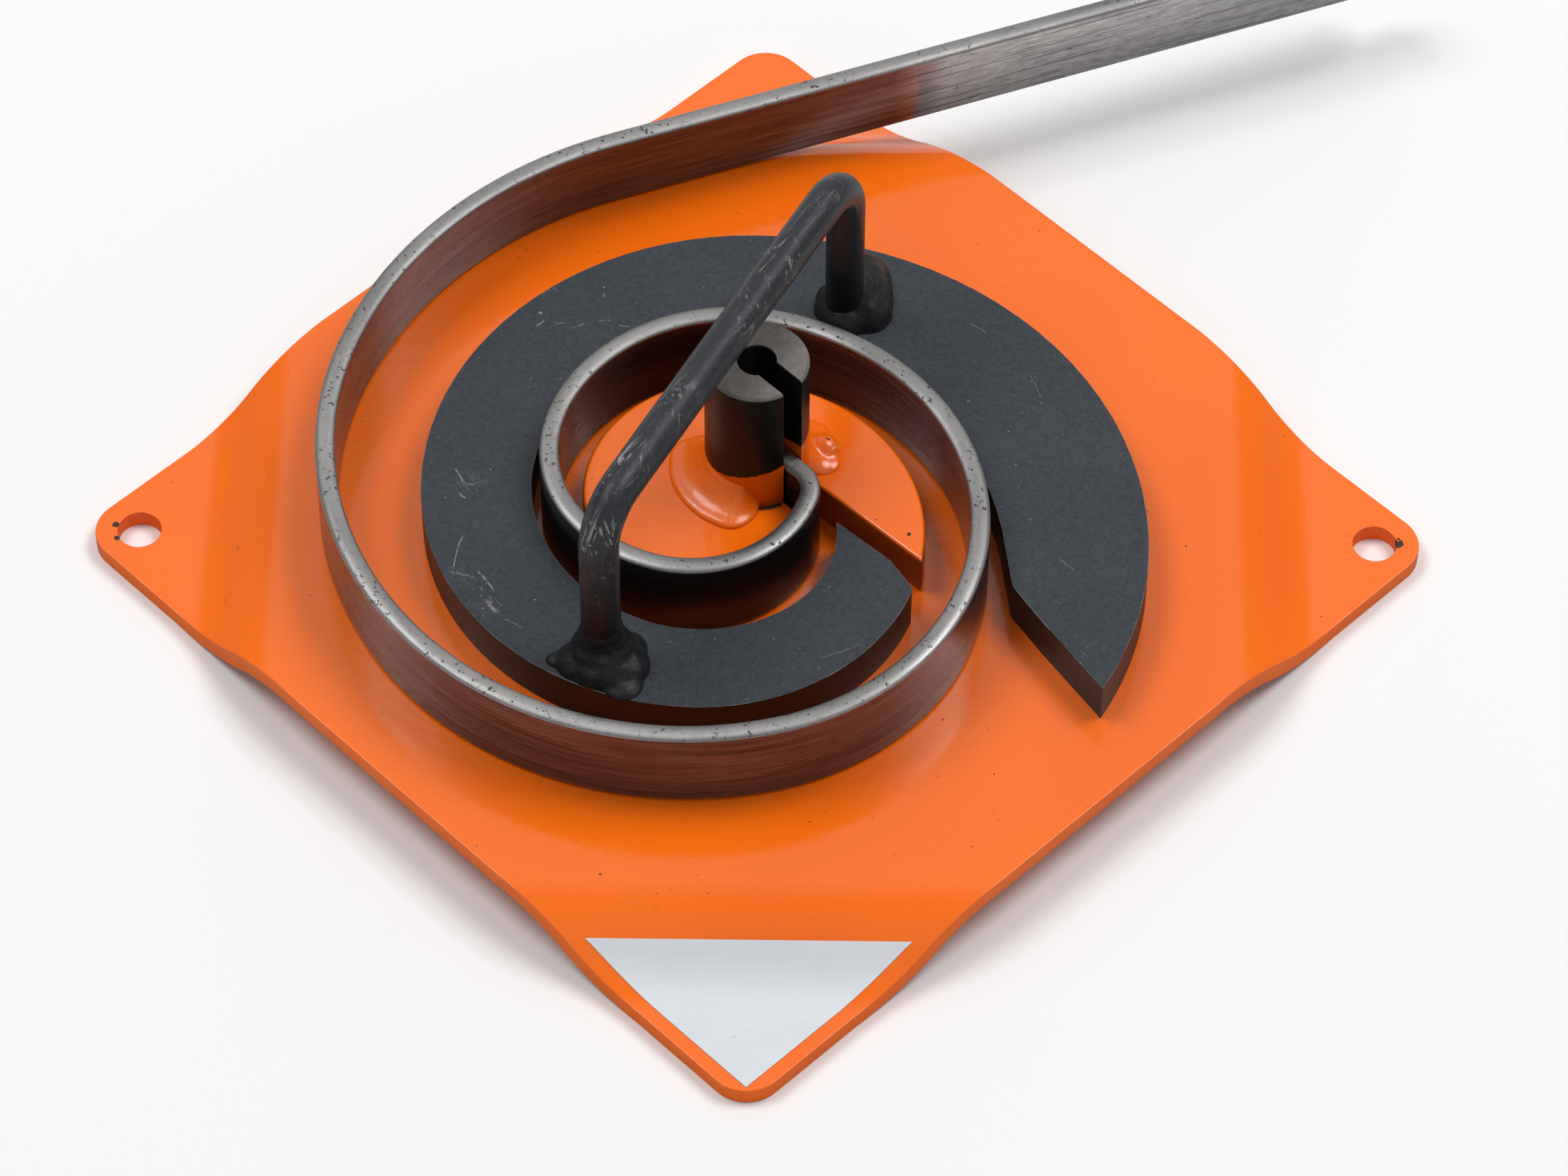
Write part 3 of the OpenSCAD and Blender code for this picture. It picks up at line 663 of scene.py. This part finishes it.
def put(name, bm, material, body, slot, *nodes):
    """Make an object of a bmesh, hang it on its body and let it stand for its CAD nodes."""
    mesh = bpy.data.meshes.new(name)
    bm.to_mesh(mesh)
    bm.free()
    mesh.materials.append(material)
    piece = bpy.data.objects.new(name, mesh)
    bpy.context.scene.collection.objects.link(piece)
    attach(piece, body)
    if nodes:
        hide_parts(*nodes)
    return piece


def shade(piece):
    """Smooth shading that keeps big faces flat."""
    for face in piece.data.polygons:
        face.use_smooth = True
    normals = piece.modifiers.new("face_normals", "WEIGHTED_NORMAL")
    normals.keep_sharp = True
    normals.weight = 80
    return piece


def cad_copy(node):
    """A merged copy of a CAD node's mesh, with its flat faces whole again."""
    bm = bmesh.new()
    bm.from_mesh(NODES[node].data)
    bmesh.ops.remove_doubles(bm, verts=bm.verts, dist=MERGED)
    bmesh.ops.dissolve_limit(bm, angle_limit=math.radians(FLAT), verts=bm.verts, edges=bm.edges)
    return bm


def round_edges(bm, radius, segments=3, sharper_than=40.0, mark=None):
    """Round every edge that turns more than an angle; the new faces can be marked."""
    layer = bm.faces.layers.float.new(mark) if mark else None
    sharp = [e for e in bm.edges if e.is_manifold and e.calc_face_angle(0.0) > math.radians(sharper_than)]
    made = bmesh.ops.bevel(bm, geom=sharp, offset=radius, offset_type="OFFSET", affect="EDGES",
                           segments=segments, profile=0.5, material=-1, clamp_overlap=True)
    if mark:
        for face in made["faces"]:
            face[layer] = 1.0
    bmesh.ops.recalc_face_normals(bm, faces=bm.faces)


def extend(bm, ring, matrix):
    """Extrude a ring of edges, move its far side by a matrix and return the new ring."""
    made = bmesh.ops.extrude_edge_only(bm, edges=ring)["geom"]
    verts = [g for g in made if isinstance(g, bmesh.types.BMVert)]
    bmesh.ops.transform(bm, matrix=matrix, verts=verts)
    new = set(verts)
    return verts, [g for g in made if isinstance(g, bmesh.types.BMEdge) and new.issuperset(g.verts)]


def sweep(bm, face, at, heading, legs, step=3.0):
    """Carry a face along straight legs (None, length) and arcs (radius, degrees, axis).

    Vertices keep how far along they lie in the layer run.
    """
    run = bm.verts.layers.float.get("run") or bm.verts.layers.float.new("run")
    ring = list(face.edges)
    at, heading, gone = at.copy(), heading.normalized(), 0.0
    for radius, amount, *axis in legs:
        if radius is None:
            count = max(1, round(amount / STRAIGHT_STEP))
            move = Matrix.Translation(heading * (amount / count))
            travel = amount / count
        else:
            count = max(2, round(amount / step))
            turn = Matrix.Rotation(math.radians(amount) / count, 4, axis[0])
            centre = at + axis[0].cross(heading) * radius
            move = Matrix.Translation(centre) @ turn @ Matrix.Translation(-centre)
            travel = math.radians(amount) / count * radius
        for _ in range(count):
            verts, ring = extend(bm, ring, move)
            gone += travel
            for vert in verts:
                vert[run] = gone
            at = move @ at
            if radius is not None:
                heading = (turn @ heading).normalized()
    bmesh.ops.contextual_create(bm, geom=ring)
    return at, heading, gone


def unwrap_along(bm, girth, around):
    """A UV map in metres: u along the sweep, v round it. around gives a vertex's place round the girth."""
    run = bm.verts.layers.float["run"]
    uv = bm.loops.layers.uv.new("along")
    for face in bm.faces:
        places = [around(loop.vert) for loop in face.loops]
        wraps = max(places) - min(places) > girth / 2
        for loop, place in zip(face.loops, places):
            loop[uv].uv = (loop.vert[run], place + girth if wraps and place < girth / 2 else place)


def melt(name, beads, middle, voxel, lumps, material, body, slot, *nodes):
    """Lumps of weld metal run together: beads joined by a voxel remesh, smoothed and cut off level."""
    bm = bmesh.new()
    for x, y, z, across, upright in beads:
        size = Matrix.Diagonal((across * MM, across * MM, upright * MM, 1))
        place = Matrix.Translation(middle + Vector((x, y, z)) * MM)
        bmesh.ops.create_icosphere(bm, subdivisions=2, radius=1.0, matrix=place @ size)
    piece = put(name, bm, material, body, slot, *nodes)
    remesh = piece.modifiers.new("remesh", "REMESH")
    remesh.mode = "VOXEL"
    remesh.voxel_size = voxel
    smooth = piece.modifiers.new("smooth", "SMOOTH")
    smooth.factor = 0.5
    smooth.iterations = 36
    shape = bpy.data.meshes.new_from_object(piece.evaluated_get(bpy.context.evaluated_depsgraph_get()))
    piece.modifiers.clear()
    bm = bmesh.new()
    bm.from_mesh(shape)
    bm.normal_update()
    for vert in bm.verts:
        lump = noise.noise(vert.co / 0.0042) + 0.4 * noise.noise(vert.co / 0.0016)
        vert.co += vert.normal * lump * lumps
    bmesh.ops.bisect_plane(bm, geom=bm.verts[:] + bm.edges[:] + bm.faces[:], dist=0.0001 * MM,
                           plane_co=middle, plane_no=UP, clear_inner=True)
    bmesh.ops.holes_fill(bm, edges=[e for e in bm.edges if e.is_boundary])
    bmesh.ops.recalc_face_normals(bm, faces=bm.faces)
    bm.to_mesh(piece.data)
    bm.free()
    bpy.data.meshes.remove(shape)
    for face in piece.data.polygons:
        face.use_smooth = True
    return piece


def handle_feet(radius, height):
    """The middles of the handle's front and rear feet, at a height."""
    return (Vector((HANDLE_LOW.x + radius, HANDLE_LOW.y + radius, height)),
            Vector((HANDLE_HIGH.x - radius, HANDLE_HIGH.y - radius, height)))


def dress(node, material):
    """Give a CAD node that stays a finish of its own."""
    mesh = NODES[node].data
    mesh.materials.clear()
    mesh.materials.append(material)


# ---------------------------------------------------------------- operators

class PieceOperator(bpy.types.Operator):
    bl_options = {"REGISTER", "UNDO"}

    @property
    def edges(self):
        return bpy.context.scene.bender_edges

    @property
    def paint(self):
        return bpy.context.scene.bender_paint

    @property
    def steel(self):
        return bpy.context.scene.bender_steel


class BENDER_OT_base_plate(PieceOperator):
    """Powder-coated plate with rounded cut edges, chipped at its fixing holes"""
    bl_idname = "bender.base_plate"
    bl_label = "Base Plate"

    def execute(self, context):
        bm = cad_copy("base_plate")
        round_edges(bm, self.edges.plate)
        paint = orange_paint("plate_orange", self.paint, PLATE_CHIPS, PLATE_SCUFFS)
        shade(put("plate_shell", bm, paint, "base", "orange_paint", "base_plate"))
        return {"FINISHED"}


class BENDER_OT_inner_former(PieceOperator):
    """Fixed spiral former under the same powder coat"""
    bl_idname = "bender.inner_former"
    bl_label = "Fixed Former"

    def execute(self, context):
        bm = cad_copy("inner_former")
        round_edges(bm, self.edges.fixed_former)
        chips = [((x * MM, y * MM, FORMER_TOP), r * MM) for x, y, r in FIXED_FORMER_CHIPS]
        paint = orange_paint("former_orange", self.paint, chips, crevice_shade=FOOT_CREVICE_SHADE, shaded_walls=True)
        shade(put("fixed_former", bm, paint, "base", "orange_paint", "inner_former"))
        return {"FINISHED"}


class BENDER_OT_centre_post(PieceOperator):
    """Slotted and bored post, painted but for its machined end"""
    bl_idname = "bender.centre_post"
    bl_label = "Centre Post"

    def execute(self, context):
        bm = cad_copy("centre_post")
        round_edges(bm, self.edges.post, 2)
        finish = post_finish(self.paint, self.steel)
        shade(put("slotted_post", bm, finish, "base", "black_paint", "centre_post"))
        return {"FINISHED"}


class BENDER_OT_post_welds(PieceOperator):
    """Fillet and tack at the post's foot, and the welds under the plate"""
    bl_idname = "bender.post_welds"
    bl_label = "Post Welds"

    def execute(self, context):
        left_paint = orange_paint("weld_orange", self.paint, highlit_wrinkles=LEFT_HIGHLIT_WRINKLES, dulled=2.2)
        right_paint = orange_paint("tack_orange", self.paint, ((TACK_PIT, 0.0008),),
                                   highlit_wrinkles=RIGHT_HIGHLIT_WRINKLES, dulled=1.6)
        left_beads = self.fillet(*LEFT_FILLET)
        right_beads = self.fillet(*RIGHT_FILLET) + list(TACK_BEADS)
        melt("post_fillet", left_beads, POST, POST_VOXEL, FILLET_LUMPS, left_paint,
             "base", "orange_paint", "post_weld")
        melt("post_tack", right_beads, POST, POST_VOXEL, TACK_LUMPS, right_paint,
             "base", "orange_paint", "post_tack_weld")
        for node in ("post_root_weld", "former_plug_welds"):
            dress(node, left_paint)
        return {"FINISHED"}

    @staticmethod
    def fillet(first, last, swell, fade, reach, rise, toe):
        """Beads close together that fill a hollow-faced fillet, tapering at both ends."""
        beads = []
        for angle in range(first, last + 1, FILLET_STEP):
            from_ends = min(1.0, (angle - first + 4) / swell, (last - angle + 4) / fade)
            full = math.sin(math.pi / 2 * from_ends)
            for row in range(FILLET_ROWS):
                share = row / (FILLET_ROWS - 1)
                crown = (toe + (rise - toe) * (1 - share) ** 2.0) * (0.35 + 0.65 * full)
                out = (POST_RADIUS / MM - 2 * FILLET_BEAD
                       + (FILLET_BEAD + reach * (0.3 + 0.7 * full)) * share)
                turned = Matrix.Rotation(math.radians(angle), 3, "Z")
                place = turned @ Vector((out, 0, crown / 2 - 0.6))
                beads.append((*place, FILLET_BEAD, crown / 2 + 0.6))
        return beads


class BENDER_OT_dowels(PieceOperator):
    """Ground dowels that locate the loose former"""
    bl_idname = "bender.dowels"
    bl_label = "Dowels"

    def execute(self, context):
        dress("locating_dowels", ground_steel(self.steel))
        return {"FINISHED"}


class BENDER_OT_label(PieceOperator):
    """Blank triangular label on the front foot"""
    bl_idname = "bender.label"
    bl_label = "Blank Label"

    def execute(self, context):
        bm = cad_copy("blank_label")
        round_edges(bm, self.edges.label, 1, 60.0)
        shade(put("blank_film", bm, label_film(self.paint), "base", "label_foil", "blank_label"))
        return {"FINISHED"}


class BENDER_OT_outer_former(PieceOperator):
    """Loose spiral former in satin black, bright along its edges"""
    bl_idname = "bender.outer_former"
    bl_label = "Loose Former"

    def execute(self, context):
        bm = cad_copy("outer_former")
        round_edges(bm, self.edges.loose_former, 2, mark="rim")
        finish = former_black(self.paint)
        shade(put("loose_spiral", bm, finish, "loose_former", "black_paint", "outer_former"))
        return {"FINISHED"}


class BENDER_OT_handle(PieceOperator):
    """Bent rod handle"""
    bl_idname = "bender.handle"
    bl_label = "Lifting Handle"

    def execute(self, context):
        rod = context.scene.bender_rod
        r = rod.thickness / 2
        front, rear = handle_feet(r, HANDLE_LOW.z)
        across = rear - front
        axis = UP.cross(across).normalized()
        leg = HANDLE_HIGH.z - HANDLE_LOW.z - r - rod.bend
        bm = bmesh.new()
        turn = bm.verts.layers.float.new("turn")
        bmesh.ops.create_circle(bm, cap_ends=True, segments=28, radius=r, matrix=Matrix.Translation(front))
        for vert in bm.verts:
            out = vert.co - front
            vert[turn] = (math.atan2(out.y, out.x) % math.tau) * r
        bend = (rod.bend, 90.0, axis)
        grip = (None, across.length - 2 * rod.bend)
        bm.faces.ensure_lookup_table()
        sweep(bm, bm.faces[0], front, UP, ((None, leg), bend, grip, bend, (None, leg)), 5.0)
        unwrap_along(bm, math.tau * r, lambda vert: vert[turn])
        bmesh.ops.recalc_face_normals(bm, faces=bm.faces)
        piece = put("rod_handle", bm, rod_black(self.paint), "loose_former", "black_paint", "lift_handle")
        for face in piece.data.polygons:
            face.use_smooth = len(face.vertices) == 4
        return {"FINISHED"}


class BENDER_OT_handle_welds(PieceOperator):
    """Lumpy welds at the handle's feet"""
    bl_idname = "bender.handle_welds"
    bl_label = "Handle Welds"

    def execute(self, context):
        paint = weld_black(self.paint)
        r = context.scene.bender_rod.thickness / 2
        front, rear = handle_feet(r, FORMER_TOP)
        melt("front_weld", FRONT_BEADS, front, HANDLE_VOXEL, HANDLE_LUMPS, paint,
             "loose_former", "black_paint", "front_handle_weld")
        melt("rear_weld", REAR_BEADS, rear, HANDLE_VOXEL, HANDLE_LUMPS, paint,
             "loose_former", "black_paint", "rear_handle_weld")
        return {"FINISHED"}


class BENDER_OT_bar(PieceOperator):
    """Flat bar wound round both formers, its free tail leaning a little"""
    bl_idname = "bender.bar"
    bl_label = "Flat Bar"

    def execute(self, context):
        bar = context.scene.bender_bar
        tall = BAR_HIGH.z - BAR_LOW.z
        turned = Matrix.Rotation(math.radians(SLOT_HEADING), 4, "Z")
        heading = turned @ Vector((1, 0, 0))
        start = Vector((POST.x, POST.y, BAR_LOW.z + tall / 2)) + heading * BAR_TUCK
        bm = bmesh.new()
        turn = bm.verts.layers.float.new("turn")
        dome = DOME_SHARE * bar.thickness
        squash = bar.edge / dome
        bmesh.ops.create_grid(bm, x_segments=1, y_segments=1, size=0.5)
        bmesh.ops.scale(bm, vec=(bar.thickness, tall / squash, 1), verts=bm.verts)
        bmesh.ops.bevel(bm, geom=bm.verts[:], offset=dome, offset_type="OFFSET", affect="VERTICES",
                        segments=DOME_SEGMENTS, profile=0.5, material=-1)
        bmesh.ops.scale(bm, vec=(1, squash, 1), verts=bm.verts)
        girth = 2 * (bar.thickness + tall)
        for vert in bm.verts:
            vert[turn] = self.round_profile(vert.co, bar.thickness, tall)
        stand = Matrix(((0, 0, 1, 0), (1, 0, 0, 0), (0, 1, 0, 0), (0, 0, 0, 1)))
        bmesh.ops.transform(bm, matrix=Matrix.Translation(start) @ turned @ stand, verts=bm.verts)
        legs = [(None, BAR_START - BAR_TUCK)]
        legs += [(r * MM, sweep_deg, -UP) for r, sweep_deg in BAR_ARCS]
        legs += [(None, bar.tail)]
        bm.faces.ensure_lookup_table()
        _, tail_heading, total = sweep(bm, bm.faces[0], start, heading, legs, 2.5)
        unwrap_along(bm, girth, lambda vert: vert[turn])
        self.mark_edges(bm, bar)
        self.lean_tail(bm, bar, tail_heading, total, tall)
        bmesh.ops.recalc_face_normals(bm, faces=bm.faces)
        shade(put("wound_bar", bm, bar_steel(self.steel), "bar", "mill_steel", "flat_bar"))
        return {"FINISHED"}

    @staticmethod
    def round_profile(co, thick, tall):
        """Place round the bar's section, from one corner of its foot."""
        if abs(co.y) > tall / 2 - thick / 2:
            side = co.x + thick / 2
            return side if co.y < 0 else thick + tall + (thick - side)
        rise = co.y + tall / 2
        return thick + rise if co.x > 0 else 2 * thick + tall + (tall - rise)

    @staticmethod
    def mark_edges(bm, bar):
        """The rounded edges are rolled clean: mark their faces."""
        rim = bm.faces.layers.float.new("rim")
        for face in bm.faces:
            middle = face.calc_center_median().z
            if middle > BAR_HIGH.z - bar.edge or middle < BAR_LOW.z + bar.edge:
                face[rim] = 1.0

    @staticmethod
    def lean_tail(bm, bar, tail_heading, total, tall):
        """Swing the foot of the free tail outwards."""
        run = bm.verts.layers.float["run"]
        outward = UP.cross(tail_heading)
        last_arcs = sum(r * MM * math.radians(a) for r, a in BAR_ARCS[-2:])
        begin = total - bar.tail - last_arcs
        for vert in bm.verts:
            along = min(1.0, max(0.0, (vert[run] - begin) / last_arcs))
            drop = (BAR_HIGH.z - vert.co.z) / tall
            vert.co += outward * (bar.lean * drop * along * along * (3 - 2 * along))


class BENDER_OT_stage(bpy.types.Operator):
    """Pale floor, soft light and the camera"""
    bl_idname = "bender.stage"
    bl_label = "Stage"

    def execute(self, context):
        scene = context.scene
        stage = scene.bender_stage
        scene.view_settings.view_transform = "Standard"
        self.floor(stage)
        self.world(scene, stage)
        self.lamp("window_right", *LAMP_RIGHT, stage.right)
        self.lamp("window_left", *LAMP_LEFT, stage.left)
        self.camera(scene)
        return {"FINISHED"}

    @staticmethod
    def floor(stage):
        bm = bmesh.new()
        bmesh.ops.create_grid(bm, x_segments=1, y_segments=1, size=FLOOR_REACH)
        mesh = bpy.data.meshes.new("floor")
        bm.to_mesh(mesh)
        bm.free()
        g = Graph("floor_white")
        grain = g.grain(0.02, 3.0)
        rays = g.node("ShaderNodeLightPath").outputs
        paper = g.blend(g.ramp(grain, 0.3, 0.7), rgba((stage.floor,) * 3), rgba((stage.floor,) * 3, 1.01))
        # Painted shade: the mirrored floor close by is darker, as the contact shadow under the pieces
        mirrored = g.blend(g.ramp(rays["Ray Length"], *MIRROR_REACH), rgba((stage.floor_near_shade,) * 3),
                           rgba((stage.floor_far,) * 3))
        paper = g.blend(rays["Is Glossy Ray"], paper, mirrored)
        paper = g.blend(rays["Is Camera Ray"], paper, rgba((stage.floor_seen,) * 3))
        g.finish(Base_Color=paper, Roughness=0.9, Specular_IOR_Level=0.0)
        mesh.materials.append(g.material)
        floor = bpy.data.objects.new("floor", mesh)
        bpy.context.scene.collection.objects.link(floor)

    @staticmethod
    def world(scene, stage):
        world = bpy.data.worlds.new("soft_sky")
        world.use_nodes = True
        sky = Nodes(world.node_tree)
        towards = sky.split(sky.node("ShaderNodeTexCoord").outputs["Generated"])
        panel = sky.maths("MULTIPLY", sky.ramp(sky.maths("ABSOLUTE", towards[0]), *PANEL_SIDE, 1.0, 0.0),
                          sky.ramp(towards[1], *PANEL_FOOT, 0.0, stage.sky_panel - stage.sky_sides))
        around = sky.ramp(towards[1], *SKY_TURN, stage.sky_front, stage.sky_sides)
        seen = sky.node("ShaderNodeLightPath").outputs["Is Camera Ray"]
        level = sky.maths("MAXIMUM", seen, sky.maths("ADD", panel, around))
        light = sky.node("ShaderNodeBackground", Strength=level)
        out = sky.node("ShaderNodeOutputWorld")
        sky.tree.links.new(light.outputs[0], out.inputs["Surface"])
        scene.world = world

    @staticmethod
    def lamp(name, at, size, power):
        lamp = bpy.data.lights.new(name, "AREA")
        lamp.shape = "DISK"
        lamp.size = size
        lamp.energy = power
        made = bpy.data.objects.new(name, lamp)
        made.location = at
        made.rotation_mode = "QUATERNION"
        made.rotation_quaternion = (-at).to_track_quat("-Z", "Y")
        bpy.context.scene.collection.objects.link(made)

    @staticmethod
    def camera(scene):
        """The photograph's view: a long lens 1.24 m away, looking 52 degrees down."""
        at = Vector((12.52, -773.0, 971.8)) * MM
        pitch, yaw, roll = 51.87, -0.51, 0.26
        focal_px, frame_px = 8498.0, 2212.0
        lens = bpy.data.cameras.new("photo_view")
        lens.sensor_width = 36.0
        lens.lens = focal_px / frame_px * lens.sensor_width
        lens.clip_start = 0.05
        made = bpy.data.objects.new("photo_view", lens)
        made.matrix_world = (Matrix.Translation(at)
                             @ Matrix.Rotation(math.radians(-yaw), 4, "Z")
                             @ Matrix.Rotation(math.radians(90 - pitch), 4, "X")
                             @ Matrix.Rotation(math.radians(roll), 4, "Z"))
        scene.collection.objects.link(made)
        scene.camera = made


class BENDER_PT_panel(bpy.types.Panel):
    """Builds the pieces one by one"""
    bl_idname = "BENDER_PT_panel"
    bl_label = "Scroll Bender"
    bl_space_type = "VIEW_3D"
    bl_region_type = "UI"
    bl_category = "Scroll Bender"

    def draw(self, context):
        for piece in PIECES:
            self.layout.operator(piece.bl_idname)
        for name in SETTINGS:
            box = self.layout.box()
            group = getattr(context.scene, name)
            for prop in group.__annotations__:
                box.prop(group, prop)


PIECES = (BENDER_OT_base_plate, BENDER_OT_inner_former, BENDER_OT_centre_post, BENDER_OT_post_welds,
          BENDER_OT_dowels, BENDER_OT_label, BENDER_OT_outer_former, BENDER_OT_handle,
          BENDER_OT_handle_welds, BENDER_OT_bar, BENDER_OT_stage)
SETTINGS = {"bender_paint": PaintSettings, "bender_steel": SteelSettings, "bender_edges": EdgeSettings,
            "bender_rod": RodSettings, "bender_bar": BarSettings, "bender_stage": StageSettings}


def register():
    for name, group in SETTINGS.items():
        bpy.utils.register_class(group)
        setattr(bpy.types.Scene, name, bpy.props.PointerProperty(type=group))
    for cls in (*PIECES, BENDER_PT_panel):
        bpy.utils.register_class(cls)


def unregister():
    for cls in (BENDER_PT_panel, *reversed(PIECES)):
        bpy.utils.unregister_class(cls)
    for name, group in SETTINGS.items():
        delattr(bpy.types.Scene, name)
        bpy.utils.unregister_class(group)


def main():
    register()
    for piece in PIECES:
        group, name = piece.bl_idname.split(".")
        getattr(getattr(bpy.ops, group), name)()


if __name__ == "__main__":
    main()
